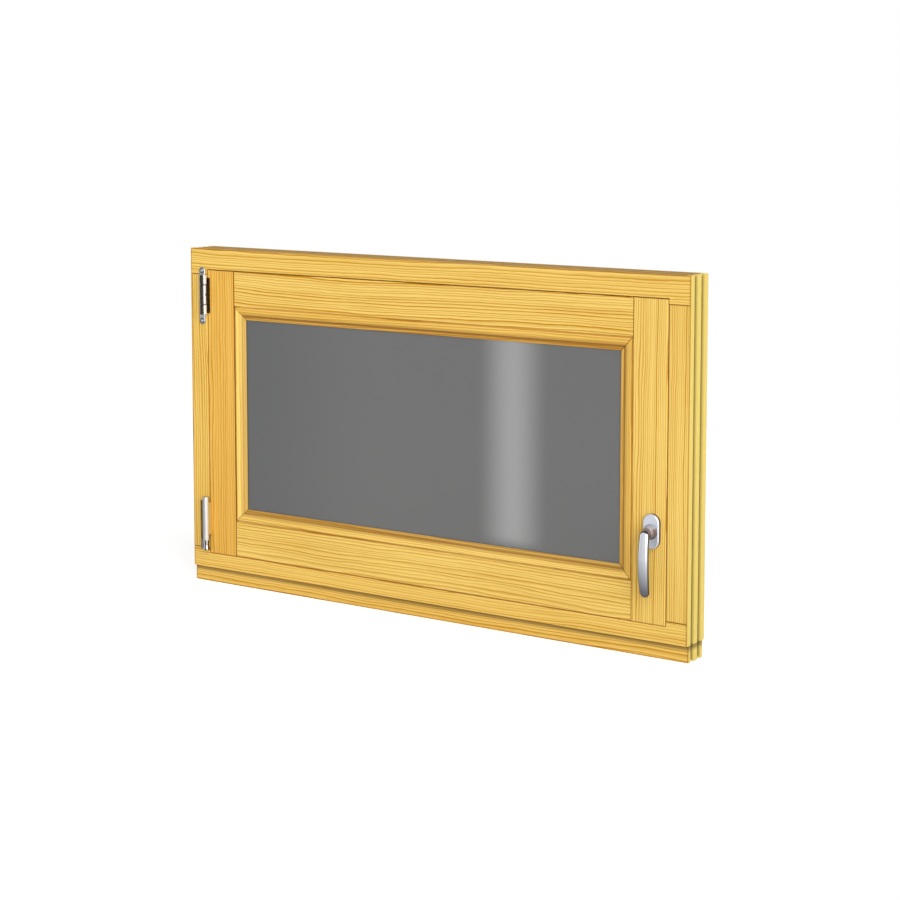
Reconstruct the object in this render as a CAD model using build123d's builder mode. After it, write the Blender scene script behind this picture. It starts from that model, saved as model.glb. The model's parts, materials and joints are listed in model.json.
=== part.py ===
from build123d import *
import os

os.makedirs("parts", exist_ok=True)

# Timber tilt and turn window, seen from the room side.
# X runs along the width, Z up, and Y from the room (negative) to the weather side (positive).
# The origin is the middle of the sill's bottom face.

# Outer frame
frame_width = 1000.0
frame_height = 600.0
frame_depth = 56.0
member_face = 45.5
sill_face = 61.5
stop_height = 18.0
stop_depth = 18.0
pocket_width = 8.75
pocket_depth = 16.0
rib_edge = 12.0
rib_groove = 10.0
rib_groove_depth = 8.0
board_rebate_height = 27.0
board_rebate_depth = 5.5
sill_drop = 14.5
sill_slope_drop = 7.0
arris_radius = 1.5
shoulder_bevel = 1.2

# Sash
sash_gap = 1.6
sash_depth = 50.0
lip_depth = 15.0
hardware_gap = 8.6
stop_gap = 4.5
stile_face = 60.3
bottom_rail_face = 62.5
glazing_leg_height = 22.5
leg_slope_drop = 4.5
sash_arris_radius = 1.5
drip_groove_width = 3.0
drip_groove_depth = 3.0
drip_groove_inset = 2.5

# Glazing
pane_thickness = 4.0
pane_cavity = 16.0
pane_edge_gap = 5.0
seal_thickness = 1.0
seal_width = 11.0
seal_setback = 0.5
spacer_width = 9.0
spacer_inset = 2.0
setting_block_length = 100.0
setting_block_inset = 70.0

# Glazing beads
bead_width = 23.7
bead_depth = 5.2
bead_quirk_width = 2.8
bead_quirk_depth = 2.4
bead_nose_radius = 1.2
bead_slope_width = 12.6
bead_slope_drop = 2.6
bead_cove_width = 6.0
bead_cove_drop = 1.6
bead_cove_sag = 0.9
bead_clearance = 0.2
bead_mitre_gap = 0.25

# Weatherstrip between the sash and the frame's stop
strip_thickness = 1.0
strip_overlap = 3.5
strip_bulb_width = 4.0
strip_bulb_height = 3.0

# Rain rail on the sill
rail_wall = 2.0
rail_overhang = 4.0
rail_deck_height = 16.0
rail_deck_fall = 6.0
rail_nose_height = 17.0
rail_nose_lip = 3.0
rail_cap_thickness = 2.0
rail_cap_clearance = 0.2

# Hinges, both on one upright axis over the gap between sash and frame
hinge_inset = 34.5
hinge_out = 7.5
knuckle_gap = 0.5
pin_radius = 3.0
pin_clearance = 0.05
relief_clearance = 0.5

# Upper hinge
upper_barrel_radius = 6.0
upper_barrel_drop = 47.0
upper_barrel_length = 69.5
upper_knuckle_drop = 63.4
upper_knuckle_length = 35.5
upper_plate_inset = 27.4
upper_plate_drop = 33.0
upper_plate_length = 102.0
upper_plate_width = 13.0
upper_plate_thickness = 3.0
upper_leaf_drop = 51.5
upper_leaf_length = 62.5
upper_leaf_thickness = 2.5
upper_leaf_width = 4.8
knuckle_bevel = 0.7
plate_edge_bevel = 0.8
pin_head_height = 1.5

# Lower hinge
sleeve_radius = 6.0
sleeve_low = 76.5
sleeve_high = 155.5
sleeve_arm_low = 88.0
sleeve_arm_high = 146.0
sleeve_arm_width = 4.3
bracket_low = 60.0
bracket_high = 76.0
bracket_collar_radius = 5.2
bracket_waist_radius = 4.2
bracket_foot_radius = 6.0
bracket_lip = 2.2
bracket_plate_width = 16.0
bracket_plate_thickness = 3.0
bracket_web_width = 6.0
lower_pin_embed = 12.0
lower_pin_rise = 55.0

# Handle
handle_inset = 61.8
handle_z = 201.0
rosette_width = 28.0
rosette_height = 55.0
rosette_thickness = 7.0
rosette_edge_bevel = 1.6
rosette_floor = 3.0
neck_radius = 11.5
neck_top_radius = 6.5
neck_clearance = 0.3
lever_thickness = 9.0
lever_width_top = 15.0
lever_width_middle = 17.4
lever_width_tip = 15.0
lever_rise = 4.5
lever_drop = 100.0
lever_out_top = 24.0
lever_out_middle = 29.0
lever_out_tip = 22.0
lever_edge_radius = 3.6
spindle_side = 7.0
spindle_in_lever = 14.0
spindle_reach = 30.0
spindle_bore_radius = 5.5

# Locking gear in the handle stile's edge
gear_rail_width = 16.0
gear_rail_thickness = 2.4
gear_rail_end_gap = 40.0
gear_case_thickness = 12.0
gear_case_height = 60.0
gear_case_reach = 20.0
cam_radius = 4.0
cam_height = 8.0
cam_inset = 70.0
keeper_length = 50.0
keeper_thickness = 4.0
keeper_width = 14.0
keeper_slot = 9.0

# Derived places. Depths are measured from the room face, insets from the frame's outer edge.
room_y = -frame_depth / 2
half_width = frame_width / 2
pocket_inset = member_face - pocket_width
pocket_low = sill_face - pocket_width
pocket_high = frame_height - pocket_inset
pocket_half = half_width - pocket_inset
rebate_half = half_width - member_face
rebate_low = sill_face
rebate_high = frame_height - member_face
rebate_depth = frame_depth - stop_depth
stop_half = rebate_half - stop_height
stop_low = rebate_low + stop_height
stop_high = rebate_high - stop_height

lip_half = pocket_half - sash_gap
lip_low = pocket_low + sash_gap
lip_high = pocket_high - sash_gap
body_half = rebate_half - hardware_gap
body_low = rebate_low + hardware_gap
body_high = rebate_high - hardware_gap
body_depth = rebate_depth - strip_thickness
leaf_half = stop_half - stop_gap
leaf_low = stop_low + stop_gap
leaf_high = stop_high - stop_gap

glazing_half = lip_half - stile_face
glazing_low = lip_low + bottom_rail_face
glazing_high = lip_high - stile_face
inner_pane_depth = bead_depth + seal_thickness
outer_pane_depth = inner_pane_depth + pane_thickness + pane_cavity
glazing_depth = outer_pane_depth + pane_thickness + seal_thickness
sight_half = glazing_half - glazing_leg_height
sight_low = glazing_low + glazing_leg_height
sight_high = glazing_high - glazing_leg_height

glass_half = glazing_half - pane_edge_gap
glass_low = glazing_low + pane_edge_gap
glass_high = glazing_high - pane_edge_gap

upper_plate_high = frame_height - upper_plate_drop
upper_plate_low = upper_plate_high - upper_plate_length
upper_barrel_high = frame_height - upper_barrel_drop
upper_barrel_low = upper_barrel_high - upper_barrel_length
upper_knuckle_high = frame_height - upper_knuckle_drop
upper_knuckle_low = upper_knuckle_high - upper_knuckle_length
upper_leaf_high = frame_height - upper_leaf_drop
upper_leaf_low = upper_leaf_high - upper_leaf_length

handle_x = half_width - handle_inset
gear_depth = (lip_depth + body_depth) / 2

# How near an edge has to lie to be chosen
edge_reach = 0.01


def depth_plane(depth):
    """An upright plane at a depth from the room face, facing the room."""
    return Plane.XZ.offset(-(room_y + depth))


def span(low, high):
    """The height and the middle of a range."""
    return high - low, (low + high) / 2


def cut_window(half, low, high, depth_from, depth_to):
    """Cuts a rectangular opening through the current part, between two depths."""
    tall, middle = span(low, high)
    with BuildSketch(depth_plane(depth_to)) as outline:
        with Locations((0, middle)):
            Rectangle(2 * half, tall)
    extrude(outline.sketch, amount=depth_to - depth_from, mode=Mode.SUBTRACT)


def cut_border(half, low, high, depth_from, depth_to):
    """Cuts away what lies outside a rectangle, between two depths."""
    tall, middle = span(low, high)
    with BuildSketch(depth_plane(depth_to)) as outline:
        with Locations((0, middle)):
            Rectangle(2 * frame_width, 2 * frame_height)
            Rectangle(2 * half, tall, mode=Mode.SUBTRACT)
    extrude(outline.sketch, amount=depth_to - depth_from, mode=Mode.SUBTRACT)


def cut_edge_grooves():
    """Runs the two wall grooves round the outer edge of the frame."""
    low = rib_groove_depth
    high = frame_height - rib_groove_depth
    half = half_width - rib_groove_depth
    cut_border(half, low, high, rib_edge, rib_edge + rib_groove)
    far = frame_depth - rib_edge
    cut_border(half, low, high, far - rib_groove, far)


def cut_sash_steps():
    """Steps the sash's edge back behind its lip, and again at the frame's stop."""
    cut_border(body_half, body_low, body_high, lip_depth, sash_depth)
    cut_border(leaf_half, leaf_low, leaf_high, body_depth, sash_depth)


def prism(half, low, high, depth_from, depth_to):
    """Adds a rectangular bar, seen from the room, between two depths."""
    tall, middle = span(low, high)
    with BuildSketch(depth_plane(depth_to)) as outline:
        with Locations((0, middle)):
            Rectangle(2 * half, tall)
    extrude(outline.sketch, amount=depth_to - depth_from)


def ring(half, low, high, width, depth_from, depth_to):
    """Adds a rectangular ring of a given width, between two depths."""
    tall, middle = span(low, high)
    with BuildSketch(depth_plane(depth_to)) as outline:
        with Locations((0, middle)):
            Rectangle(2 * half, tall)
            Rectangle(2 * (half - width), tall - 2 * width, mode=Mode.SUBTRACT)
    extrude(outline.sketch, amount=depth_to - depth_from)


def arrises(part, depth, near):
    """The edges of a member that lie at a depth and at one height or width."""
    axis, place = near
    y = room_y + depth
    chosen = part.edges().filter_by_position(Axis.Y, y - edge_reach, y + edge_reach)
    return chosen.filter_by_position(axis, place - edge_reach, place + edge_reach)


def soften(part, depth, near, radius):
    """Rounds the edges of a member that lie at a depth and at one height or width."""
    fillet(arrises(part, depth, near), radius)


def bevel_shoulders(part, depth, axis, places):
    """Bevels the ends of a member on one face, for a fine groove where it meets its neighbours."""
    for place in places:
        chamfer(arrises(part, depth, (axis, place)), shoulder_bevel)


# Frame head, over both jambs
with BuildPart() as frame_head:
    prism(half_width, rebate_high, frame_height, 0, frame_depth)
    prism(stop_half, stop_high, rebate_high, rebate_depth, frame_depth)
    cut_window(pocket_half, pocket_low, pocket_high, 0, pocket_depth)
    cut_edge_grooves()
    soften(frame_head, 0, (Axis.Z, pocket_high), arris_radius)
    soften(frame_head, frame_depth, (Axis.Z, stop_high), arris_radius)

# Frame jambs, between the sill and the head
with BuildPart() as frame_jamb_hinge:
    tall, middle = span(rebate_low, rebate_high)
    with BuildSketch(Plane.XY.offset(rebate_low)):
        with Locations(((-half_width - stop_half) / 2, 0)):
            Rectangle(half_width - stop_half, frame_depth)
    extrude(amount=tall)
    cut_window(pocket_half, pocket_low, pocket_high, 0, pocket_depth)
    cut_window(rebate_half, 0, frame_height, 0, rebate_depth)
    cut_edge_grooves()
    bevel_shoulders(frame_jamb_hinge, 0, Axis.Z, (rebate_low, rebate_high))
    bevel_shoulders(frame_jamb_hinge, frame_depth, Axis.Z, (rebate_low, rebate_high))
    soften(frame_jamb_hinge, 0, (Axis.X, -pocket_half), arris_radius)
    soften(frame_jamb_hinge, frame_depth, (Axis.X, -stop_half), arris_radius)

with BuildPart() as frame_jamb_handle:
    mirror(frame_jamb_hinge.part, about=Plane.YZ)

# Sill, with the window board rebates under both faces and a weathered outer shoulder
with BuildPart() as frame_sill:
    with BuildSketch(Plane.YZ.offset(-half_width)):
        with BuildLine():
            Polyline(
                (room_y + board_rebate_depth, 0),
                (-room_y - board_rebate_depth, 0),
                (-room_y - board_rebate_depth, board_rebate_height),
                (-room_y, board_rebate_height),
                (-room_y, sill_face),
                (room_y, sill_face),
                (room_y, board_rebate_height),
                (room_y + board_rebate_depth, board_rebate_height),
                close=True,
            )
        make_face()
    extrude(amount=frame_width)
    cut_window(pocket_half, pocket_low, pocket_high, 0, pocket_depth)
    with BuildSketch(Plane.YZ.offset(-stop_half)):
        with BuildLine():
            Polyline(
                (room_y + rebate_depth, sill_face + sill_drop),
                (room_y + rebate_depth, sill_face - sill_drop),
                (-room_y + sill_drop, sill_face - sill_drop - sill_slope_drop),
                (-room_y + sill_drop, sill_face + sill_drop),
                close=True,
            )
        make_face()
    extrude(amount=2 * stop_half, mode=Mode.SUBTRACT)
    cut_edge_grooves()
    soften(frame_sill, 0, (Axis.Z, pocket_low), arris_radius)

# Sash stiles, running the full height of the sash
with BuildPart() as sash_stile_hinge:
    tall, middle = span(lip_low, lip_high)
    with BuildSketch(Plane.XY.offset(lip_low)):
        with BuildLine():
            Polyline(
                (-lip_half, room_y),
                (-glazing_half, room_y),
                (-glazing_half, room_y + glazing_depth),
                (-sight_half, room_y + glazing_depth),
                (-sight_half, room_y + sash_depth),
                (-lip_half, room_y + sash_depth),
                close=True,
            )
        make_face()
    extrude(amount=tall)
    cut_sash_steps()
    soften(sash_stile_hinge, 0, (Axis.X, -lip_half), sash_arris_radius)
    soften(sash_stile_hinge, sash_depth, (Axis.X, -sight_half), sash_arris_radius)

with BuildPart() as sash_stile_handle:
    mirror(sash_stile_hinge.part, about=Plane.YZ)
    # Bore for the handle's spindle, groove for the gear rail and mortise for its case
    with BuildSketch(depth_plane(0)):
        with Locations((handle_x, handle_z)):
            Circle(spindle_bore_radius)
    extrude(amount=-gear_depth, mode=Mode.SUBTRACT)
    with BuildSketch(Plane.YZ.offset(body_half)):
        with Locations((room_y + gear_depth, handle_z)):
            Rectangle(gear_case_thickness, gear_case_height)
    extrude(amount=-gear_case_reach, mode=Mode.SUBTRACT)
    with BuildSketch(Plane.YZ.offset(body_half)):
        tall, middle = span(body_low, body_high)
        with Locations((room_y + gear_depth, middle)):
            Rectangle(gear_rail_width, tall - 2 * gear_rail_end_gap)
    extrude(amount=-gear_rail_thickness, mode=Mode.SUBTRACT)

# Sash rails, between the stiles, with the glazing leg scribed between the stiles' legs
with BuildPart() as sash_rail_top:
    with BuildSketch(Plane.YZ.offset(-glazing_half)):
        with BuildLine():
            Polyline(
                (room_y, lip_high),
                (room_y, glazing_high),
                (room_y + glazing_depth, glazing_high),
                (room_y + glazing_depth, sight_high),
                (room_y + sash_depth, sight_high),
                (room_y + sash_depth, lip_high),
                close=True,
            )
        make_face()
    extrude(amount=2 * glazing_half)
    cut_border(sight_half, 0, frame_height, glazing_depth, sash_depth)
    cut_sash_steps()
    bevel_shoulders(sash_rail_top, 0, Axis.X, (-glazing_half, glazing_half))
    bevel_shoulders(sash_rail_top, sash_depth, Axis.X, (-sight_half, sight_half))
    soften(sash_rail_top, 0, (Axis.Z, lip_high), sash_arris_radius)
    soften(sash_rail_top, sash_depth, (Axis.Z, sight_high), sash_arris_radius)

with BuildPart() as sash_rail_bottom:
    with BuildSketch(Plane.YZ.offset(-glazing_half)):
        with BuildLine():
            Polyline(
                (room_y, lip_low),
                (room_y, glazing_low),
                (room_y + glazing_depth, glazing_low),
                (room_y + glazing_depth, sight_low),
                (room_y + sash_depth, sight_low - leg_slope_drop),
                (room_y + sash_depth, lip_low),
                close=True,
            )
        make_face()
    extrude(amount=2 * glazing_half)
    cut_border(sight_half, 0, frame_height, glazing_depth, sash_depth)
    cut_sash_steps()
    bevel_shoulders(sash_rail_bottom, 0, Axis.X, (-glazing_half, glazing_half))
    bevel_shoulders(sash_rail_bottom, sash_depth, Axis.X, (-sight_half, sight_half))
    soften(sash_rail_bottom, 0, (Axis.Z, lip_low), sash_arris_radius)
    soften(sash_rail_bottom, sash_depth, (Axis.Z, sight_low - leg_slope_drop), sash_arris_radius)
    # Drip groove under the outer leaf
    with BuildSketch(Plane.XY.offset(leaf_low)):
        drip_y = room_y + sash_depth - drip_groove_inset - drip_groove_width / 2
        with Locations((0, drip_y)):
            Rectangle(2 * glazing_half, drip_groove_width)
    extrude(amount=drip_groove_depth, mode=Mode.SUBTRACT)


def bead(plane, length):
    """A mitred glazing bead. The plane's X points to the glass and its Y into the rebate."""
    nose = bead_quirk_width + bead_nose_radius
    slope = bead_quirk_width + bead_slope_width
    cove = slope + bead_cove_width
    nose_sag = bead_nose_radius * (1 - 0.5**0.5)
    nose_point = (bead_quirk_width + nose_sag, nose_sag)
    rim_drop = bead_slope_drop + bead_cove_drop
    sag_point = ((slope + cove) / 2, (bead_slope_drop + rim_drop) / 2 + bead_cove_sag)
    with BuildSketch(plane) as outline:
        with BuildLine():
            Polyline(
                (bead_clearance, bead_depth),
                (bead_clearance, bead_quirk_depth),
                (bead_quirk_width, bead_quirk_depth),
                (bead_quirk_width, bead_nose_radius),
            )
            ThreePointArc((bead_quirk_width, bead_nose_radius), nose_point, (nose, 0))
            Line((nose, 0), (slope, bead_slope_drop))
            ThreePointArc((slope, bead_slope_drop), sag_point, (cove, rim_drop))
            Polyline((cove, rim_drop), (bead_width, rim_drop), (bead_width, bead_depth))
            Line((bead_width, bead_depth), (bead_clearance, bead_depth))
        make_face()
    extrude(outline.sketch, amount=length / 2, both=True)
    mitre_plane = Plane(origin=plane.origin, x_dir=plane.z_dir, z_dir=plane.y_dir)
    half = length / 2 - bead_mitre_gap
    with BuildSketch(mitre_plane) as outline:
        with BuildLine():
            Polyline(
                (-half, 0),
                (half, 0),
                (half - bead_width, bead_width),
                (bead_width - half, bead_width),
                close=True,
            )
        make_face()
    extrude(outline.sketch, amount=bead_depth, mode=Mode.INTERSECT)


# Glazing beads, mitred at the corners
bead_tall, bead_middle = span(glazing_low, glazing_high)

with BuildPart() as bead_bottom:
    bead_origin = (0, room_y, glazing_low)
    bead(Plane(origin=bead_origin, x_dir=(0, 0, 1), z_dir=(-1, 0, 0)), 2 * glazing_half)

with BuildPart() as bead_top:
    mirror(bead_bottom.part, about=Plane.XY.offset(bead_middle))

with BuildPart() as bead_left:
    bead_origin = (-glazing_half, room_y, bead_middle)
    bead(Plane(origin=bead_origin, x_dir=(1, 0, 0), z_dir=(0, 0, 1)), bead_tall)

with BuildPart() as bead_right:
    mirror(bead_left.part, about=Plane.YZ)

# Insulating glass unit on its setting blocks
with BuildPart() as pane_inner:
    inner_back = inner_pane_depth + pane_thickness
    prism(glass_half, glass_low, glass_high, inner_pane_depth, inner_back)

with BuildPart() as pane_outer:
    outer_back = outer_pane_depth + pane_thickness
    prism(glass_half, glass_low, glass_high, outer_pane_depth, outer_back)

with BuildPart() as pane_spacer:
    spacer_half = glass_half - spacer_inset
    spacer_low = glass_low + spacer_inset
    spacer_high = glass_high - spacer_inset
    ring(spacer_half, spacer_low, spacer_high, spacer_width, inner_back, outer_pane_depth)

with BuildPart() as glazing_seal_inner:
    seal_margin = seal_width + seal_setback - bead_width
    seal_low = glazing_low - seal_margin
    seal_high = glazing_high + seal_margin
    ring(glazing_half + seal_margin, seal_low, seal_high, seal_width, bead_depth, inner_pane_depth)

with BuildPart() as glazing_seal_outer:
    seal_margin = seal_width + seal_setback
    seal_low = sight_low - seal_margin
    seal_high = sight_high + seal_margin
    ring(sight_half + seal_margin, seal_low, seal_high, seal_width, outer_back, glazing_depth)

with BuildPart() as setting_block_hinge:
    block_x = setting_block_inset + setting_block_length / 2 - glass_half
    block_tall, block_middle = span(glazing_low, glass_low)
    with BuildSketch(depth_plane(outer_back)):
        with Locations((block_x, block_middle)):
            Rectangle(setting_block_length, block_tall)
    extrude(amount=outer_back - inner_pane_depth)

with BuildPart() as setting_block_handle:
    mirror(setting_block_hinge.part, about=Plane.YZ)

# Weatherstrip round the sash, closing on the frame's stop
with BuildPart() as weatherstrip:
    foot = stop_gap + strip_overlap
    foot_low = leaf_low - foot
    foot_high = leaf_high + foot
    ring(leaf_half + foot, foot_low, foot_high, foot, body_depth, rebate_depth)
    bulb_low = leaf_low - strip_bulb_width
    bulb_high = leaf_high + strip_bulb_width
    bulb_back = rebate_depth + strip_bulb_height
    ring(leaf_half + strip_bulb_width, bulb_low, bulb_high, strip_bulb_width, rebate_depth, bulb_back)

# Rain rail: its upstand is the sill's stop, its deck throws the water clear of the sill
rail_back = room_y + rebate_depth
rail_front = -room_y + rail_overhang
deck_back = sill_face - sill_drop + rail_deck_height
deck_front = deck_back - rail_deck_fall
nose_low = deck_front - rail_nose_height
slope_rate = sill_slope_drop / (stop_depth + sill_drop)
rail_foot = sill_face - sill_drop


def shoulder_height(y):
    """The height of the sill's weathered shoulder at a place across its depth."""
    return rail_foot - slope_rate * (y - rail_back)


with BuildPart() as rain_rail:
    with BuildSketch(Plane.YZ.offset(rail_cap_thickness - stop_half)):
        with BuildLine():
            Polyline(
                (rail_back, rail_foot),
                (rail_back, stop_low),
                (rail_back + rail_wall, stop_low),
                (rail_back + rail_wall, deck_back),
                (rail_front, deck_front),
                (rail_front, nose_low),
                (rail_front - rail_nose_lip, nose_low),
                (rail_front - rail_wall, nose_low + rail_wall),
                (rail_front - rail_wall, deck_front - rail_wall),
                (rail_back + rail_wall, deck_back - rail_wall),
                (rail_back + rail_wall, shoulder_height(rail_back + rail_wall)),
                close=True,
            )
        make_face()
    extrude(amount=2 * (stop_half - rail_cap_thickness))

with BuildPart() as rain_rail_cap_hinge:
    cap_inner = -room_y + rail_cap_clearance
    with BuildSketch(Plane.YZ.offset(-stop_half)):
        with BuildLine():
            Polyline(
                (rail_back, rail_foot),
                (rail_back, stop_low),
                (rail_back + rail_wall, stop_low),
                (rail_back + rail_wall, deck_back),
                (rail_front, deck_front),
                (rail_front, nose_low),
                (cap_inner, nose_low),
                (cap_inner, shoulder_height(cap_inner)),
                close=True,
            )
        make_face()
    extrude(amount=rail_cap_thickness)

with BuildPart() as rain_rail_cap_handle:
    mirror(rain_rail_cap_hinge.part, about=Plane.YZ)

# Hinge axis
hinge_x = hinge_inset - half_width
hinge_y = room_y - hinge_out
hinge_axis = Axis((hinge_x, hinge_y, 0), (0, 0, 1))
hinge_plane = Plane(origin=(hinge_x, hinge_y, 0), x_dir=(1, 0, 0), z_dir=(0, -1, 0))


def upright(radius, low, high, x=hinge_x, y=hinge_y, mode=Mode.ADD):
    """A round upright bar, or its bore, on the hinge axis."""
    with BuildSketch(Plane.XY.offset(low)) as outline:
        with Locations((x, y)):
            Circle(radius)
    extrude(outline.sketch, amount=high - low, mode=mode)


def upright_block(x_low, x_high, y_low, y_high, low, high, mode=Mode.ADD):
    """A rectangular upright block between six faces."""
    with BuildSketch(Plane.XY.offset(low)) as outline:
        with Locations(((x_low + x_high) / 2, (y_low + y_high) / 2)):
            Rectangle(x_high - x_low, y_high - y_low)
    extrude(outline.sketch, amount=high - low, mode=mode)


def knuckle(radius, low, high):
    """A round upright bar on the hinge axis, bevelled at both ends, with its outline turned about the axis."""
    with BuildSketch(hinge_plane) as outline:
        with BuildLine():
            Polyline(
                (0, low),
                (radius - knuckle_bevel, low),
                (radius, low + knuckle_bevel),
                (radius, high - knuckle_bevel),
                (radius - knuckle_bevel, high),
                (0, high),
                close=True,
            )
        make_face()
    revolve(outline.sketch, axis=hinge_axis)


# Upper hinge: round-ended plate on the frame with two knuckles
with BuildPart() as upper_hinge_plate:
    plate_tall, plate_middle = span(upper_plate_low, upper_plate_high)
    plate_x = upper_plate_inset - half_width
    with BuildSketch(depth_plane(0)):
        with Locations((plate_x, plate_middle)):
            SlotOverall(plate_tall, upper_plate_width, rotation=90)
    extrude(amount=upper_plate_thickness)
    chamfer(upper_hinge_plate.faces().sort_by(Axis.Y)[0].edges(), plate_edge_bevel)
    relief = upper_barrel_radius + relief_clearance
    upright(relief, upper_knuckle_low, upper_knuckle_high, mode=Mode.SUBTRACT)
    knuckle(upper_barrel_radius, upper_barrel_low, upper_knuckle_low)
    knuckle(upper_barrel_radius, upper_knuckle_high, upper_barrel_high)
    upright(pin_radius + pin_clearance, upper_plate_low, upper_plate_high, mode=Mode.SUBTRACT)

with BuildPart() as upper_hinge_leaf:
    leaf_x = -lip_half + relief_clearance
    leaf_end = leaf_x + upper_leaf_width
    leaf_y = room_y - upper_leaf_thickness
    upright_block(leaf_x, leaf_end, leaf_y, room_y, upper_leaf_low, upper_leaf_high)
    middle_low = upper_knuckle_low + knuckle_gap
    middle_high = upper_knuckle_high - knuckle_gap
    upright_block(hinge_x, leaf_end, hinge_y, room_y, middle_low, middle_high)
    knuckle(upper_barrel_radius, middle_low, middle_high)
    upright(pin_radius + pin_clearance, upper_leaf_low, upper_leaf_high, mode=Mode.SUBTRACT)

with BuildPart() as upper_hinge_pin:
    upright(pin_radius, upper_barrel_low, upper_barrel_high)
    upright(pin_radius + pin_head_height, upper_barrel_high, upper_barrel_high + pin_head_height)

# Lower hinge: pivot bracket on the frame, pin, and the sash's sleeve over the pin
with BuildPart() as lower_hinge_bracket:
    bracket_x = hinge_x - bracket_plate_width
    plate_y = room_y - bracket_plate_thickness
    upright_block(bracket_x, hinge_x, plate_y, room_y, bracket_low, bracket_high)
    web_x = hinge_x - bracket_web_width
    upright_block(web_x, hinge_x, hinge_y, room_y, bracket_low, bracket_low + 2 * bracket_lip)
    waist_z = (bracket_low + bracket_high) / 2
    with BuildSketch(hinge_plane) as outline:
        with BuildLine():
            Polyline(
                (0, bracket_low),
                (bracket_foot_radius, bracket_low),
                (bracket_foot_radius, bracket_low + bracket_lip),
                (bracket_waist_radius, waist_z),
                (bracket_collar_radius, bracket_high - bracket_lip),
                (bracket_collar_radius, bracket_high),
                (0, bracket_high),
                close=True,
            )
        make_face()
    revolve(outline.sketch, axis=hinge_axis)
    pin_low = bracket_high - lower_pin_embed
    upright(pin_radius + pin_clearance, pin_low, bracket_high, mode=Mode.SUBTRACT)

with BuildPart() as lower_hinge_pin:
    upright(pin_radius, pin_low, bracket_high + lower_pin_rise)

with BuildPart() as lower_hinge_sleeve:
    arm_end = -lip_half + relief_clearance + sleeve_arm_width
    arm_start = -lip_half + relief_clearance
    upright_block(arm_start, arm_end, hinge_y, room_y, sleeve_arm_low, sleeve_arm_high)
    knuckle(sleeve_radius, sleeve_low, sleeve_high)
    pin_top = bracket_high + lower_pin_rise
    upright(pin_radius + pin_clearance, sleeve_low, pin_top, mode=Mode.SUBTRACT)

# Handle
handle_plane = Plane(origin=(handle_x, room_y, handle_z), x_dir=(1, 0, 0), z_dir=(0, -1, 0))
side_plane = Plane(origin=(handle_x, room_y, handle_z), x_dir=(0, -1, 0), z_dir=(-1, 0, 0))

with BuildPart() as handle_rosette:
    with BuildSketch(handle_plane):
        SlotOverall(rosette_height, rosette_width, rotation=90)
    extrude(amount=rosette_thickness)
    chamfer(handle_rosette.faces().sort_by(Axis.Y)[0].edges(), rosette_edge_bevel)
    with BuildSketch(handle_plane.offset(rosette_floor)):
        Circle(neck_radius + neck_clearance)
    extrude(amount=rosette_thickness, mode=Mode.SUBTRACT)
    with BuildSketch(handle_plane):
        Circle(spindle_bore_radius)
    extrude(amount=rosette_thickness, mode=Mode.SUBTRACT)

lever_half_thickness = lever_thickness / 2
lever_middle = (lever_rise - lever_drop) / 2

with BuildPart() as handle_lever:
    # Side profile: a bowed band
    with BuildSketch(side_plane):
        with BuildLine():
            front_top = (lever_out_top + lever_half_thickness, lever_rise)
            front_middle = (lever_out_middle + lever_half_thickness, lever_middle)
            front_tip = (lever_out_tip + lever_half_thickness, -lever_drop)
            back_top = (lever_out_top - lever_half_thickness, lever_rise)
            back_middle = (lever_out_middle - lever_half_thickness, lever_middle)
            back_tip = (lever_out_tip - lever_half_thickness, -lever_drop)
            ThreePointArc(front_top, front_middle, front_tip)
            Line(front_tip, back_tip)
            ThreePointArc(back_tip, back_middle, back_top)
            Line(back_top, front_top)
        make_face()
    extrude(amount=lever_width_middle, both=True)
    # Front outline: slim at both ends, fullest in the middle
    with BuildSketch(handle_plane):
        with BuildLine():
            top_half = lever_width_top / 2
            tip_half = lever_width_tip / 2
            middle_half = lever_width_middle / 2
            top_line = lever_rise - top_half
            tip_line = tip_half - lever_drop
            ThreePointArc((top_half, top_line), (0, lever_rise), (-top_half, top_line))
            ThreePointArc((-top_half, top_line), (-middle_half, lever_middle), (-tip_half, tip_line))
            ThreePointArc((-tip_half, tip_line), (0, -lever_drop), (tip_half, tip_line))
            ThreePointArc((tip_half, tip_line), (middle_half, lever_middle), (top_half, top_line))
        make_face()
    extrude(amount=2 * lever_out_middle, mode=Mode.INTERSECT)
    fillet(handle_lever.edges(), lever_edge_radius)
    # Neck, tapering from the rosette's bore into the lever
    with BuildSketch(handle_plane.offset(rosette_floor + neck_clearance)):
        Circle(neck_radius)
    with BuildSketch(handle_plane.offset(lever_out_top)):
        Circle(neck_top_radius)
    loft()
    with BuildSketch(handle_plane):
        Rectangle(spindle_side, spindle_side)
    extrude(amount=rosette_floor + spindle_in_lever, mode=Mode.SUBTRACT)

with BuildPart() as handle_spindle:
    with BuildSketch(handle_plane.offset(rosette_floor + spindle_in_lever)):
        Rectangle(spindle_side, spindle_side)
    extrude(amount=-(rosette_floor + spindle_in_lever + spindle_reach))

# Locking gear in the handle stile's edge, with the spindle through its case
gear_y = room_y + gear_depth
gear_low = body_low + gear_rail_end_gap
gear_high = body_high - gear_rail_end_gap

with BuildPart() as gear_case:
    with BuildSketch(Plane.YZ.offset(body_half - gear_rail_thickness)):
        with Locations((gear_y, handle_z)):
            Rectangle(gear_case_thickness, gear_case_height)
    extrude(amount=gear_rail_thickness - gear_case_reach)
    with BuildSketch(handle_plane):
        Circle(spindle_bore_radius)
    extrude(amount=-frame_depth, mode=Mode.SUBTRACT)

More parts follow.
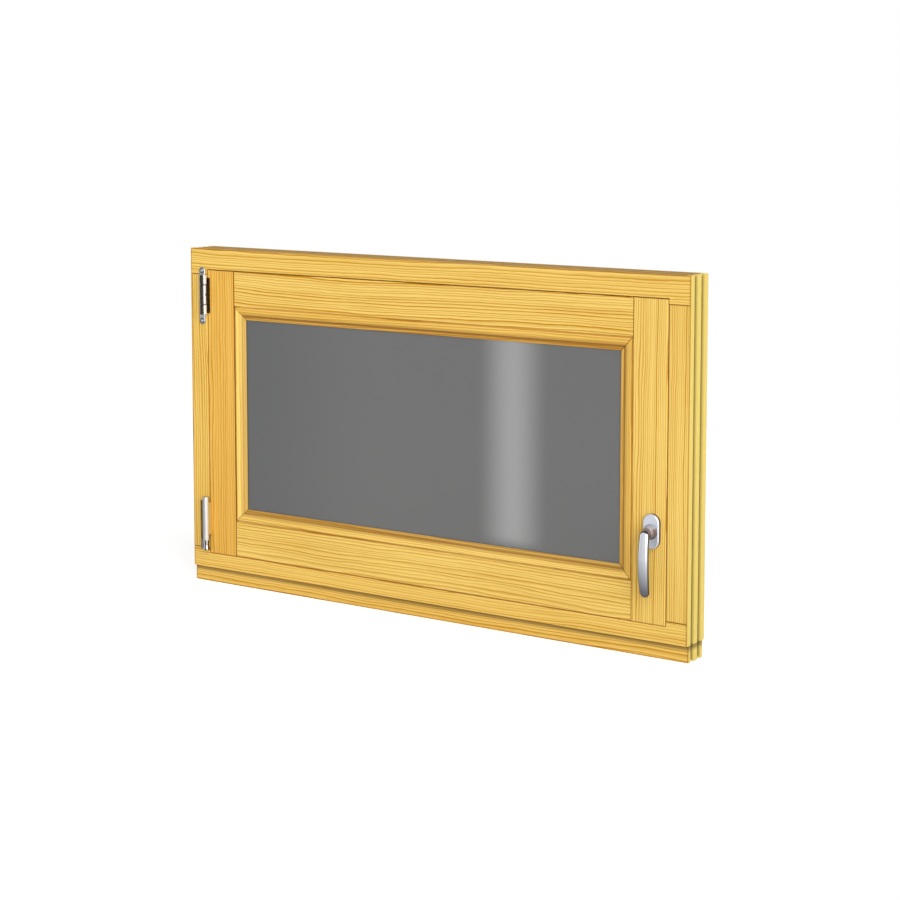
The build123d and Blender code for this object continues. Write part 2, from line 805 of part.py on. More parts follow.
with BuildPart() as gear_rail:
    gear_tall, gear_middle = span(gear_low, gear_high)
    with BuildSketch(Plane.YZ.offset(body_half)):
        with Locations((gear_y, gear_middle)):
            Rectangle(gear_rail_width, gear_tall)
    extrude(amount=-gear_rail_thickness)
    cam_places = [(gear_y, gear_low + cam_inset), (gear_y, gear_high - cam_inset)]
    with BuildSketch(Plane.YZ.offset(body_half)):
        with Locations(*cam_places):
            Circle(cam_radius)
    extrude(amount=cam_height)


def keeper(height):
    """A keeper screwed in the frame's rebate, its slot open round a cam."""
    with BuildSketch(Plane.YZ.offset(rebate_half)) as outline:
        with Locations((gear_y, height)):
            Rectangle(keeper_width, keeper_length)
            Rectangle(keeper_slot, keeper_length - 2 * keeper_slot, mode=Mode.SUBTRACT)
    extrude(outline.sketch, amount=-(hardware_gap - cam_height) - keeper_thickness)


with BuildPart() as keeper_lower:
    keeper(gear_low + cam_inset)

with BuildPart() as keeper_upper:
    keeper(gear_high - cam_inset)

pieces = {
    "frame_head": frame_head,
    "frame_jamb_hinge": frame_jamb_hinge,
    "frame_jamb_handle": frame_jamb_handle,
    "frame_sill": frame_sill,
    "sash_stile_hinge": sash_stile_hinge,
    "sash_stile_handle": sash_stile_handle,
    "sash_rail_top": sash_rail_top,
    "sash_rail_bottom": sash_rail_bottom,
    "bead_top": bead_top,
    "bead_bottom": bead_bottom,
    "bead_left": bead_left,
    "bead_right": bead_right,
    "pane_inner": pane_inner,
    "pane_outer": pane_outer,
    "pane_spacer": pane_spacer,
    "glazing_seal_inner": glazing_seal_inner,
    "glazing_seal_outer": glazing_seal_outer,
    "setting_block_hinge": setting_block_hinge,
    "setting_block_handle": setting_block_handle,
    "weatherstrip": weatherstrip,
    "rain_rail": rain_rail,
    "rain_rail_cap_hinge": rain_rail_cap_hinge,
    "rain_rail_cap_handle": rain_rail_cap_handle,
    "upper_hinge_plate": upper_hinge_plate,
    "upper_hinge_leaf": upper_hinge_leaf,
    "upper_hinge_pin": upper_hinge_pin,
    "lower_hinge_bracket": lower_hinge_bracket,
    "lower_hinge_pin": lower_hinge_pin,
    "lower_hinge_sleeve": lower_hinge_sleeve,
    "handle_rosette": handle_rosette,
    "handle_lever": handle_lever,
    "handle_spindle": handle_spindle,
    "gear_case": gear_case,
    "gear_rail": gear_rail,
    "keeper_lower": keeper_lower,
    "keeper_upper": keeper_upper,
}

for name, piece in pieces.items():
    piece.part.label = name
    export_step(piece.part, f"parts/{name}.step")
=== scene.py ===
"""Tilt and turn window: finishes, small fittings, stage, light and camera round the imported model."""

import json
import math

import bmesh
import bpy
from mathutils import Matrix, Vector


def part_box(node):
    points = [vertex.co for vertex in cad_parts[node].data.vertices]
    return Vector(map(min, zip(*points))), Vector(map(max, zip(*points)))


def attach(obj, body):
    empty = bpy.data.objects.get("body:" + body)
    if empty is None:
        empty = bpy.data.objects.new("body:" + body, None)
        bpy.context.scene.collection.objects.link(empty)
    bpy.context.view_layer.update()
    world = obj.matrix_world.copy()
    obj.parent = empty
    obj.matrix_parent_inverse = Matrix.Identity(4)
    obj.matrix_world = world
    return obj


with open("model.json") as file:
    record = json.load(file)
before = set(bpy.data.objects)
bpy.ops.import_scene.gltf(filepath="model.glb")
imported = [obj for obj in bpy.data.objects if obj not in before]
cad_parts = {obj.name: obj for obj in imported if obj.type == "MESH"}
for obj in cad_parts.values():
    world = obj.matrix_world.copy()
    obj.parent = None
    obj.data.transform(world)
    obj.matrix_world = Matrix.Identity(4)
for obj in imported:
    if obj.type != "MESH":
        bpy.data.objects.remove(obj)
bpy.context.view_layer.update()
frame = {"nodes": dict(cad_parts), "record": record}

# Sizes from the part's source that its boxes don't give, in metres
step_top = 0.027
step_depth = 0.0055
groove_depth = 0.008
knuckle_drop = 0.0634
knuckle_length = 0.0355
plate_thickness = 0.003
plate_half = 0.0065
lever_half_width = 0.0087
lever_rise = 0.0045
lever_out_top = 0.024
neck_radius = 0.0115

# Places on the model, in metres
room_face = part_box("frame_head")[0].y
weather_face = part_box("frame_head")[1].y
outer_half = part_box("frame_head")[1].x
frame_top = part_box("frame_head")[1].z
joint_low, joint_high = (corner.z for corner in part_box("frame_jamb_hinge"))
rail_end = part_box("sash_rail_top")[1].x
bead_half = -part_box("bead_left")[0].x
bead_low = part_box("bead_bottom")[0].z
bead_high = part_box("bead_top")[1].z
bead_width = bead_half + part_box("bead_left")[1].x
hinge_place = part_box("upper_hinge_pin")
hinge_axis_x = (hinge_place[0].x + hinge_place[1].x) / 2
hinge_axis_y = (hinge_place[0].y + hinge_place[1].y) / 2
barrel_low = hinge_place[0].z
barrel_high = hinge_place[1].z
knuckle_high = frame_top - knuckle_drop
knuckle_low = knuckle_high - knuckle_length
screw_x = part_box("upper_hinge_plate")[0].x + plate_half
screw_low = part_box("upper_hinge_plate")[0].z + plate_half
screw_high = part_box("upper_hinge_plate")[1].z - plate_half
lever_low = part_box("handle_lever")[0].z
handle_x = (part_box("handle_lever")[0].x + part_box("handle_lever")[1].x) / 2
handle_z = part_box("handle_lever")[1].z - neck_radius
lever_high = handle_z + lever_rise
neck_end = room_face - lever_out_top
rosette_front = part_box("handle_rosette")[0].y

# Camera, as the photograph was taken
CAMERA_PLACE = (1.9785, -2.8300, 0.8795)
CAMERA_TURN = 0.6007
CAMERA_PITCH = 0.1030
CAMERA_LENS = 83.736
CAMERA_SHIFT = -0.16

# Light: each sun's direction, level and softness, and how bright the rest is
KEY_SUN = (0.70, -0.62, 0.35), 1.15, 1.2
FILL_SUN = (-0.62, 0.76, 0.16), 0.6, 1.0
WORLD_LEVEL = 0.24
FLOOR_GLOW = 0.63
FLOOR_TONE = (0.60, 0.60, 0.60)
FLOOR_SIZE = 8.0
FLOOR_FADE = (1.2, 3.0)
STRIP_PLACE = (-0.143, -0.52, 0.25)
STRIP_SIZE = (0.17, 0.60)
STRIP_PEAK = 4.3
STRIP_ACROSS = ((0.0, 0.0), (0.5, 1.0), (1.0, 0.0))
STRIP_ALONG = ((0.0, 0.0), (0.085, 0.0), (0.14, 1.0), (0.82, 1.0), (1.0, 0.0))

# Timber colours
EARLY_WOOD = (0.955, 0.670, 0.180)
LATE_WOOD = (0.550, 0.240, 0.000)
HEAD_WOOD = (0.940, 0.645, 0.165)
SILL_WOOD = (0.925, 0.625, 0.155)
BEAD_WOOD = (0.980, 0.630, 0.140)
EARLY_WARM = (0.890, 0.530, 0.110)
LATE_WARM = (0.560, 0.230, 0.000)
EDGE_WOOD = (0.850, 0.650, 0.175)
# Painted shade on faces deep in the seams, and the plain wood colour that level ones among them get instead
DEEP_SHADE_WOOD = (0.560, 0.330, 0.100)
LEVEL_WOOD = (0.960, 0.660, 0.250)

# Tints that timber colours are multiplied by, some of them painted shade: in the seams, bead coves, grooves,
# on the head's top and below the step; and how much less of the seam's painted shade a level face gets
SEAM_SHADE_TINT = (0.82, 0.70, 0.48)
LEVEL_SEAM_SHADE_LESS = 0.7
JOINT_STAIN = (0.46, 0.32, 0.17)
COVE_SHADE_TINT = (0.42, 0.29, 0.15)
GROOVE_SHADE_TINT = (0.24, 0.22, 0.24)
TOP_SHADE_TINT = (0.56, 0.44, 0.42)
BORDER_STAIN = (0.68, 0.55, 0.38)
FIBRE_STAIN = (0.80, 0.76, 0.66)
STEP_SHADOW_TINT = (0.40, 0.38, 0.42)

# Grain: how each noise is stretched along, through and across the member, and how much of it darkens the wood
DRIFT = (1.6, 5.0, 5.0)
RIPPLE = (9.0, 45.0, 45.0)
RIPPLE_SIZE = 0.0048
FIBRES = (14.0, 1100.0, 1100.0)
FIBRE_SHARE = 0.3
STREAKS = (3.0, 190.0, 190.0)
STREAK_SHARE = 0.5
TONES = (2.2, 11.0, 11.0)
TONE_SHARE = 0.6
TONE_MIDDLE = 0.47

# Growth rings: how often and how much their width changes, how dark a year is, and the colour over one ring
RING_CHANGE = 0.45
RING_UNEVEN = 0.9
YEAR_SPREAD = (0.65, 0.35)
RING_PROFILE = ((0.0, 0.0), (0.25, 0.12), (0.55, 0.36), (0.78, 1.0), (0.89, 0.95), (0.98, 0.0))

# Lacquered and bare timber
LACQUER_ROUGHNESS = 0.44
LATE_WOOD_GLOSS = -0.08
FIBRE_ROUGHNESS = 0.08
FIBRE_HEIGHT = 0.3
LATE_WOOD_HEIGHT = 0.7
BARE_ROUGHNESS = 0.92
BARE_FIBRES = 0.5
TIMBER_SPECULAR = 0.18
TIMBER_BUMP = 0.25, 0.0003

# How far a face's normal leans to an axis where marks, painted light and painted shade go from none to full
TURNED_AWAY = (0.985, 0.75)
LYING_LEVEL = (0.3, 0.7)
NOT_AT_END = (0.7, 0.3)
LEVER_TOP = (0.25, 0.60)
COVER_UP = (0.35, 0.80)
COVER_DOWN = (-0.30, -0.90)
ROSETTE_SIDE = (0.5, 0.2)

# Where timber marks and painted shade go from none to full, in metres
FACE_MARGIN = 0.0003
BAND_EDGE = (0.001, 0.0004)
# Painted shade in the edge's grooves, by depth below the outer side
GROOVE_SHADE = (0.0, 0.0066)
BORDER_LINE = (0.0030, 0.0014)
# Painted shade in the seams and deep in them, by depth behind the room face
SEAM_DEPTH = (0.0022, 0.0014)
DEEP_START = (0.0014, 0.0022)
DEEP_END = (0.022, 0.018)
STEP_SHADE = (0.0125, 0.0025)
FRAME_JOINT_LINE = (0.0013, 0.0005)
SASH_JOINT_LINE = (0.0012, 0.0004)
MITRE_LINE = (0.0011, 0.0004)
# Painted shade across a bead, by the share of its width from the outside
COVE_SHADE_PROFILE = ((0.0, 0.45), (0.11, 0.40), (0.15, 0.0), (0.40, 0.0), (0.52, 0.4), (0.64, 0.62), (0.79, 1.0),
                (0.83, 0.5), (1.0, 0.65))

# Where hinge marks and painted shade go from none to full, in metres
BARREL_EDGE = (0.0064, 0.0061)
BARREL_FOOT = (0.0012, 0.0004)
BARREL_HEAD = (0.0005, -0.0003)
KNUCKLE_LINE = (0.0012, 0.0005)
SOCKET_EDGE = (0.0017, 0.0012)
SOCKET_SIDE = (0.0, 0.001)
RING_INNER = (0.0029, 0.0034)
RING_OUTER = (0.0054, 0.0047)
ARM_START = (0.0058, 0.0064)

# Where the neck's painted shade, with the wood's reflection, goes from none to full, in metres before its end
# and below the handle's axis
NECK_BACK = (0.0006, 0.0)
NECK_FOOT = (0.013, 0.009)

# Painted highlight stripes round a hinge's axis, by turn: 0.5 faces the room, and more is to the handle's
# side
BARREL_HIGHLIGHTS = ((0.0, 0.0), (0.46, 0.0), (0.52, 0.03), (0.59, 0.03), (0.63, 0.0), (0.655, 1.0), (0.80, 1.0),
                (0.84, 0.5))
BRACKET_HIGHLIGHTS = ((0.0, 0.3), (0.42, 0.02), (0.46, 0.6), (0.51, 0.7), (0.54, 0.02), (0.61, 0.02), (0.64, 0.9),
                 (0.69, 0.9), (0.71, 0.0), (1.0, 0.2))
SLEEVE_HIGHLIGHTS = ((0.0, 0.0), (0.48, 0.05), (0.55, 0.35), (0.60, 0.62), (0.66, 1.0), (0.70, 0.66), (0.74, 0.70),
                (0.765, 0.1))
NO_HIGHLIGHTS = ((0.0, 0.0), (1.0, 0.0))

# Fine marks: how they are made up, then for each metal three stretches and a scale, and the bump's strength
# and distance
MARK_DETAIL = 3.0, 0.6
MARK_SHARE = 0.6
PATCH_SCALE = 45.0
PATCH_SHARE = 0.4
HINGE_MARKS = (1, 1, 0.08), 1200
HINGE_BUMP = 0.06, 0.0001
SILVER_MARKS = (1, 1, 0.12), 900
SILVER_BUMP = 0.08, 0.0001

# Roughness of the metals: what the marks add, and the level without them
SATIN_ROUGHNESS = (0.10, 0.30)
POLISHED_ROUGHNESS = (0.05, 0.20)
LEVER_ROUGHNESS = (0.08, 0.24)
ROSETTE_ROUGHNESS = (0.08, 0.38)

# How metallic the rosette is, and what the painted highlights and the neck's painted shade take from the
# metal
ROSETTE_METALLIC = 0.6
HIGHLIGHT_METALLIC_CHANGE = -0.8
NECK_SHADE_CHANGE = -0.65

# Steel colours of the hinges: satin, near-black painted reflection for polished steel, the painted highlight,
# and the stains and painted shade on them
SATIN_STEEL = (0.38, 0.38, 0.395)
DARK_REFLECTION_STEEL = (0.026, 0.020, 0.013)
HIGHLIGHT_STEEL = (0.84, 0.82, 0.81)
LEAF_REFLECTION_STEEL = (0.050, 0.032, 0.018)
BRACKET_REFLECTION_STEEL = (0.045, 0.042, 0.040)
SLEEVE_STEEL = (0.26, 0.26, 0.235)
SCREW_STEEL = (0.40, 0.40, 0.42)
SHIELD_SHADOW_STEEL = (0.060, 0.042, 0.022)
ARM_PAINT = (0.56, 0.335, 0.075)
KNUCKLE_GAP_SHADE = (0.25, 0.23, 0.21)
SOCKET_SHADE = (0.05, 0.05, 0.05)
SCREW_RING_SHADE = (0.26, 0.25, 0.25)
PLATING_STAIN = (0.88, 0.87, 0.86)

# Silver colours of the handle with painted light and shade: lit and shaded silver, how painted shade,
# highlights and light lie on the lever, the neck's and the rosette's painted shade, and the stains on them
LEVER_LIT = (0.78, 0.81, 0.86)
LEVER_SHADE = (0.10, 0.10, 0.125)
PAINTED_LIGHT_ACROSS = (0.35, 0.65)
LEVER_TOP_SHADE = (0.10, 0.10, 0.11)
LEVER_NECK_SHADE = (0.230, 0.180, 0.180)
LEVER_TIP_SHADE = ((0.0, 0.0), (0.10, 0.10), (0.30, 0.42), (0.60, 0.86), (1.0, 1.0))
LEVER_HIGHLIGHTS = ((0.0, 0.05), (0.37, 0.06), (0.43, 0.35), (0.47, 0.84), (0.51, 0.90), (0.55, 1.0), (0.62, 1.0),
               (0.69, 0.32), (0.76, 0.08))
COVER_SHADED_SIDE = (0.180, 0.138, 0.136)
COVER_LIT_TOP = (0.44, 0.44, 0.47)
COVER_UNDER_SHADE = (0.45, 0.45, 0.48)
ROSETTE_FACE = (0.60, 0.635, 0.70)
ROSETTE_WALL_SHADE = (0.13, 0.10, 0.075)
SILVER_STAIN = (0.90, 0.90, 0.91)

# The pane, with a painted reflection that makes it darker to the hinges
PANE_DARK = (0.148, 0.150, 0.152)
PANE_LIGHT = (0.190, 0.190, 0.190)
PANE_REFLECTION_FADE = (-0.40, -0.08)
PANE_SMEARS = (2.0, 2.0, 5.0)
PANE_ROUGHNESS = (0.02, 0.01)
PANE_TRANSMISSION = 0.3
PANE_IOR = 1.5

# Small fittings, in metres
SCREW_RADIUS = 0.0031
SCREW_HEIGHT = 0.0013
COVER_GAP = 0.0003
COVER_RADII = (0.0120, 0.0113)
COVER_FOOT = 0.0016
# Each step of the neck cover: how far out, its width and height as shares of the last, and how far down
COVER_STEPS = ((0.0030, 0.93, 0.94, 0.0003), (0.0040, 0.91, 0.95, 0.0008), (0.0042, 0.88, 0.99, 0.0010))
# A thin leaf beside the lower sleeve, dark brown as the sleeve's painted shadow on the jamb
SHIELD_LEFT = 0.0160
SHIELD_RIGHT = 0.0112
SHIELD_DEPTH = 0.0030
SHIELD_HEIGHT = 0.0700
SHIELD_LIFT = 0.0003
SHIELD_BEVEL = 0.0008


def add_node(tree, kind, values=None, **settings):
    """Adds a node. A value is plain, or the socket that the input is joined to."""
    node = tree.nodes.new(kind)
    for name, value in settings.items():
        setattr(node, name, value)
    for name, value in (values or {}).items():
        if isinstance(value, bpy.types.NodeSocket):
            tree.links.new(value, node.inputs[name])
        else:
            node.inputs[name].default_value = value
    return node


def compute(tree, operation, *terms, clamp=False):
    """The result of one Math node."""
    node = add_node(tree, "ShaderNodeMath", dict(enumerate(terms)), operation=operation)
    node.use_clamp = clamp
    return node.outputs[0]


def times(tree, first, second):
    """The product of two values."""
    return compute(tree, "MULTIPLY", first, second)


def minus(tree, first, second):
    """The first value less the second."""
    return compute(tree, "SUBTRACT", first, second)


def size_of(tree, value):
    """The value without its sign."""
    return compute(tree, "ABSOLUTE", value)


def gap(tree, first, second):
    """How far two values are apart."""
    return size_of(tree, minus(tree, first, second))


def reach(tree, first, second):
    """The distance that two offsets at right angles make."""
    return compute(tree, "SQRT", compute(tree, "MULTIPLY_ADD", first, first, times(tree, second, second)))


def turn_of(tree, x, y):
    """The turn round an upright axis, from 0 to 1: 0.5 faces the room, and more is to the handle's side."""
    turn = compute(tree, "ARCTAN2", x, times(tree, y, -1.0))
    return compute(tree, "MULTIPLY_ADD", turn, 0.5 / math.pi, 0.5)


def vector_math(tree, operation, first, second):
    """The vector that one Vector Math node makes of two."""
    return add_node(tree, "ShaderNodeVectorMath", {0: first, 1: second}, operation=operation).outputs[0]


def stretch(tree, vector, factors):
    """The vector times three factors."""
    return vector_math(tree, "MULTIPLY", vector, factors)


def push(tree, color, amount):
    """A noise's colour as a push to any side, as long as amount."""
    centred = vector_math(tree, "SUBTRACT", color, (0.5, 0.5, 0.5))
    return add_node(tree, "ShaderNodeVectorMath", {0: centred, "Scale": amount}, operation="SCALE").outputs[0]


def split(tree, vector):
    """The three parts of a vector."""
    return add_node(tree, "ShaderNodeSeparateXYZ", {0: vector}).outputs


def noise(tree, vector, scale, detail=2.0, roughness=0.5):
    """A Noise Texture node."""
    values = {"Vector": vector, "Scale": scale, "Detail": detail, "Roughness": roughness}
    return add_node(tree, "ShaderNodeTexNoise", values)


def fade(tree, value, start, end):
    """Goes softly from 0 at start to 1 at end."""
    values = {"Value": value, "From Min": start, "From Max": end}
    return add_node(tree, "ShaderNodeMapRange", values, interpolation_type="SMOOTHSTEP").outputs[0]


def ramp(tree, factor, stops, interpolation="LINEAR"):
    """A Color Ramp node of grey stops, each a position and a value."""
    node = add_node(tree, "ShaderNodeValToRGB", {0: factor})
    node.color_ramp.interpolation = interpolation
    elements = node.color_ramp.elements
    while len(elements) < len(stops):
        elements.new(1.0)
    for element, (position, value) in zip(elements, stops):
        element.position = position
        element.color = (value, value, value, 1)
    return node.outputs[0]


def blend_colors(tree, factor, first, second, mode="MIX"):
    """The result of one colour Mix node."""
    values = {0: factor, 6: first, 7: second}
    node = add_node(tree, "ShaderNodeMix", values, data_type="RGBA", blend_type=mode)
    return node.outputs[2]


def stain(tree, amount, color, tint):
    """The colour, multiplied by the tint where amount is 1."""
    return blend_colors(tree, amount, color, (*tint, 1), "MULTIPLY")


def make_group(name, inputs, outputs):
    """An empty node group with these sockets, and its input and output nodes."""
    group = bpy.data.node_groups.new(name, "ShaderNodeTree")
    for direction, sockets in (("INPUT", inputs), ("OUTPUT", outputs)):
        for label, kind in sockets.items():
            group.interface.new_socket(label, in_out=direction, socket_type="NodeSocket" + kind)
    return group, group.nodes.new("NodeGroupInput"), group.nodes.new("NodeGroupOutput")


def give(group, result, values):
    """Leads each value to the group's output of that name."""
    for label, value in values.items():
        group.links.new(value, result.inputs[label])


def pine_grain_group():
    """Growth rings round a pith line that runs along x, with fibres and slow tone changes."""
    group, given, result = make_group(
        "pine_grain",
        {"Vector": "Vector", "Pith": "Vector", "Ring Width": "Float", "Wander": "Float",
         "Contrast": "Float", "Early Wood": "Color", "Late Wood": "Color"},
        {"Color": "Color", "Roughness": "Float", "Height": "Float"},
    )
    socket = given.outputs
    place = vector_math(group, "SUBTRACT", socket["Vector"], socket["Pith"])
    # The pith line wanders slowly along the board, and the rings ripple round it
    slow = noise(group, stretch(group, place, DRIFT), 1.0, 1.5).outputs[1]
    quick = noise(group, stretch(group, place, RIPPLE), 1.0).outputs[1]
    moved = vector_math(group, "ADD", place, push(group, slow, socket["Wander"]))
    moved = vector_math(group, "ADD", moved, push(group, quick, RIPPLE_SIZE))
    radial = add_node(group, "ShaderNodeVectorMath", {0: stretch(group, moved, (0, 1, 1))},
                      operation="LENGTH").outputs["Value"]
    turns = compute(group, "DIVIDE", radial, socket["Ring Width"])
    uneven = add_node(group, "ShaderNodeTexNoise", {"W": turns, "Scale": RING_CHANGE, "Detail": 1.0},
                      noise_dimensions="1D").outputs[0]
    turns = compute(group, "MULTIPLY_ADD", uneven, RING_UNEVEN, turns)
    # Each ring darkens towards its outside, some years more than others
    late = ramp(group, compute(group, "FRACT", turns), RING_PROFILE)
    year = add_node(group, "ShaderNodeTexWhiteNoise", {"W": compute(group, "FLOOR", turns)},
                    noise_dimensions="1D").outputs["Value"]
    late = times(group, late, compute(group, "MULTIPLY_ADD", year, *YEAR_SPREAD))
    late = times(group, late, socket["Contrast"])
    # Fine fibres and soft streaks along the member
    fibre = noise(group, stretch(group, moved, FIBRES), 1.0).outputs[0]
    streak = noise(group, stretch(group, moved, STREAKS), 1.0).outputs[0]
    tone = noise(group, stretch(group, place, TONES), 1.0).outputs[0]
    late = compute(group, "MULTIPLY_ADD", minus(group, streak, 0.5), STREAK_SHARE, late)
    late = compute(group, "MULTIPLY_ADD", minus(group, fibre, 0.5), FIBRE_SHARE, late)
    toned = minus(group, tone, TONE_MIDDLE)
    late = compute(group, "MULTIPLY_ADD", toned, TONE_SHARE, late, clamp=True)
    gloss = compute(group, "MULTIPLY_ADD", late, LATE_WOOD_GLOSS, LACQUER_ROUGHNESS)
    raised = times(group, late, LATE_WOOD_HEIGHT)
    give(group, result, {
        "Color": blend_colors(group, late, socket["Early Wood"], socket["Late Wood"]),
        "Roughness": compute(group, "MULTIPLY_ADD", fibre, FIBRE_ROUGHNESS, gloss),
        "Height": compute(group, "MULTIPLY_ADD", fibre, FIBRE_HEIGHT, raised),
    })
    return group


def timber_places_group():
    """Where the timber looks different: its ribbed outer edge, painted shade in its grooves, on the head's
    top and in the seams, and the painted shadow on the step below.
    """
    names = ("Edge", "Groove Shade", "Top", "Border", "Seam", "Deep Shade", "Level", "Step Shadow",
             "Frame Joints", "Sash Joints")
    group, given, result = make_group(
        "timber_places", {"Vector": "Vector", "Normal": "Vector"}, dict.fromkeys(names, "Float"))
    x, y, z = split(group, given.outputs["Vector"])
    normal = split(group, given.outputs["Normal"])
    beside = minus(group, outer_half, size_of(group, x))
    inset = compute(group, "MINIMUM", beside, compute(group, "MINIMUM", minus(group, frame_top, z), z))
    depth = minus(group, y, room_face)
    behind = compute(group, "MINIMUM", depth, minus(group, weather_face, y))
    # The edge's band starts behind the faces, which lie deeper below the step
    below = compute(group, "LESS_THAN", z, step_top)
    margin = compute(group, "MULTIPLY_ADD", below, step_depth, FACE_MARGIN)
    inner = fade(group, minus(group, behind, margin), 0.0, FACE_MARGIN)
    edge = times(group, inner, fade(group, inset, *(groove_depth + part for part in BAND_EDGE)))
    plain = minus(group, 1.0, edge)
    # The head's top, apart from its ends, which gets painted shade
    upper = fade(group, z, frame_top - groove_depth - BAND_EDGE[0], frame_top - groove_depth)
    level = fade(group, size_of(group, normal[0]), *NOT_AT_END)
    away = fade(group, beside, groove_depth, groove_depth + BAND_EDGE[0])
    # Faces that are turned from the room, at a seam or deep in it, which get painted shade, and those of them
    # that lie level
    turned = times(group, fade(group, size_of(group, normal[1]), *TURNED_AWAY), plain)
    deep = times(group, fade(group, depth, *DEEP_START), fade(group, depth, *DEEP_END))
    lying = fade(group, size_of(group, normal[2]), *LYING_LEVEL)
    seam = times(group, turned, fade(group, depth, *SEAM_DEPTH))
    # Painted shadow on the strip just below the step
    step = fade(group, z, *(step_top - part for part in STEP_SHADE))
    near_joint = [gap(group, z, joint) for joint in (joint_low, joint_high)]
    frame_joints = fade(group, compute(group, "MINIMUM", *near_joint), *FRAME_JOINT_LINE)
    give(group, result, {
        "Edge": edge,
        "Groove Shade": fade(group, inset, *GROOVE_SHADE),
        "Top": times(group, times(group, edge, upper), times(group, level, away)),
        "Border": times(group, plain, fade(group, inset, *BORDER_LINE)),
        "Seam": compute(group, "MULTIPLY_ADD", times(group, seam, lying), -LEVEL_SEAM_SHADE_LESS, seam),
        "Deep Shade": times(group, turned, deep),
        "Level": lying,
        "Step Shadow": times(group, step, below),
        "Frame Joints": times(group, frame_joints, plain),
        "Sash Joints": fade(group, gap(group, size_of(group, x), rail_end), *SASH_JOINT_LINE),
    })
    return group


def bead_places_group():
    """Where a glazing bead gets painted shade, in its quirk and in the cove beside the glass, and where its
    mitres lie.
    """
    group, given, result = make_group(
        "bead_places", {"Vector": "Vector"}, {"Cove Shade": "Float", "Mitre": "Float"})
    x, _, z = split(group, given.outputs["Vector"])
    beside = minus(group, bead_half, size_of(group, x))
    above = minus(group, (bead_high - bead_low) / 2, gap(group, z, (bead_low + bead_high) / 2))
    across = compute(group, "DIVIDE", compute(group, "MINIMUM", beside, above), bead_width)
    give(group, result, {
        "Cove Shade": ramp(group, across, COVE_SHADE_PROFILE),
        "Mitre": fade(group, gap(group, beside, above), *MITRE_LINE),
    })
    return group


def hinge_places_group():
    """Places on a hinge: its round barrel, the turn round its axis, the lines between the knuckles and the
    set screw's hole that get painted shade, and the rings of painted shade round the plate's screws."""
    group, given, result = make_group(
        "hinge_places", {"Vector": "Vector"},
        dict.fromkeys(("Barrel", "Turn", "Knuckle", "Hole", "Ring"), "Float"))
    x, y, z = split(group, given.outputs["Vector"])
    off_x = minus(group, x, hinge_axis_x)
    off_y = minus(group, y, hinge_axis_y)
    off_z = minus(group, z, (knuckle_low + knuckle_high) / 2)
    barrel = fade(group, reach(group, off_x, off_y), *BARREL_EDGE)
    barrel = times(group, barrel, fade(group, z, *(barrel_low - part for part in BARREL_FOOT)))
    barrel = times(group, barrel, fade(group, z, *(barrel_high + part for part in BARREL_HEAD)))
    near_line = [gap(group, z, line) for line in (knuckle_low, knuckle_high)]
    knuckle = fade(group, compute(group, "MINIMUM", *near_line), *KNUCKLE_LINE)
    hole = fade(group, reach(group, off_z, off_y), *SOCKET_EDGE)
    near_screw = [gap(group, z, place) for place in (screw_low, screw_high)]
    apart = reach(group, minus(group, x, screw_x), compute(group, "MINIMUM", *near_screw))
    give(group, result, {
        "Barrel": barrel,
        "Turn": turn_of(group, off_x, off_y),
        "Knuckle": times(group, knuckle, barrel),
        "Hole": times(group, hole, fade(group, off_x, *SOCKET_SIDE)),
        "Ring": times(group, fade(group, apart, *RING_INNER), fade(group, apart, *RING_OUTER)),
    })
    return group


def surface_marks_group():
    """Fine marks of making and handling: a mask and a height, stretched as asked."""
    group, given, result = make_group(
        "surface_marks",
        {"Vector": "Vector", "Stretch": "Vector", "Scale": "Float"},
        {"Mask": "Float", "Height": "Float"},
    )
    drawn = stretch(group, given.outputs["Vector"], given.outputs["Stretch"])
    fine = noise(group, drawn, given.outputs["Scale"], *MARK_DETAIL).outputs[0]
    patches = noise(group, given.outputs["Vector"], PATCH_SCALE).outputs[0]
    mask = compute(group, "ADD", times(group, fine, MARK_SHARE), times(group, patches, PATCH_SHARE))
    give(group, result, {"Mask": mask, "Height": fine})
    return group


def new_material(name):
    """An empty material, its tree, its Principled BSDF and the object coordinates."""
    material = bpy.data.materials.new(name)
    material.use_nodes = True
    tree = material.node_tree
    shader = tree.nodes["Principled BSDF"]
    coordinates = tree.nodes.new("ShaderNodeTexCoord").outputs["Object"]
    return material, tree, shader, coordinates


def open_material(material):
    """The tree, the Principled BSDF and the Texture Coordinate node of a material made before."""
    tree = material.node_tree
    return tree, tree.nodes["Principled BSDF"], next(node for node in tree.nodes if node.type == "TEX_COORD")


def source(shader, label):
    """The socket that is joined to a shader's input."""
    return shader.inputs[label].links[0].from_socket


def join(tree, value, shader, label):
    """Leads a value into a shader's input."""
    tree.links.new(value, shader.inputs[label])


def join_bump(tree, shader, height, strength, distance):
    """Leads a height into the shader's normal."""
    bump = add_node(tree, "ShaderNodeBump", {"Height": height, "Strength": strength, "Distance": distance})
    join(tree, bump.outputs[0], shader, "Normal")


def place_group(tree, group, coordinates, normal=None):
    """Puts a group in a material and leads the coordinates into it."""
    node = tree.nodes.new("ShaderNodeGroup")
    node.node_tree = group
    tree.links.new(coordinates, node.inputs["Vector"])
    if normal:
        tree.links.new(normal, node.inputs["Normal"])
    return node


def place_marks(tree, coordinates, stretches, scale):
    """The outputs of the fine marks, stretched and scaled."""
    worn = place_group(tree, surface_marks, coordinates)
    worn.inputs["Stretch"].default_value = stretches
    worn.inputs["Scale"].default_value = scale
    return worn.outputs


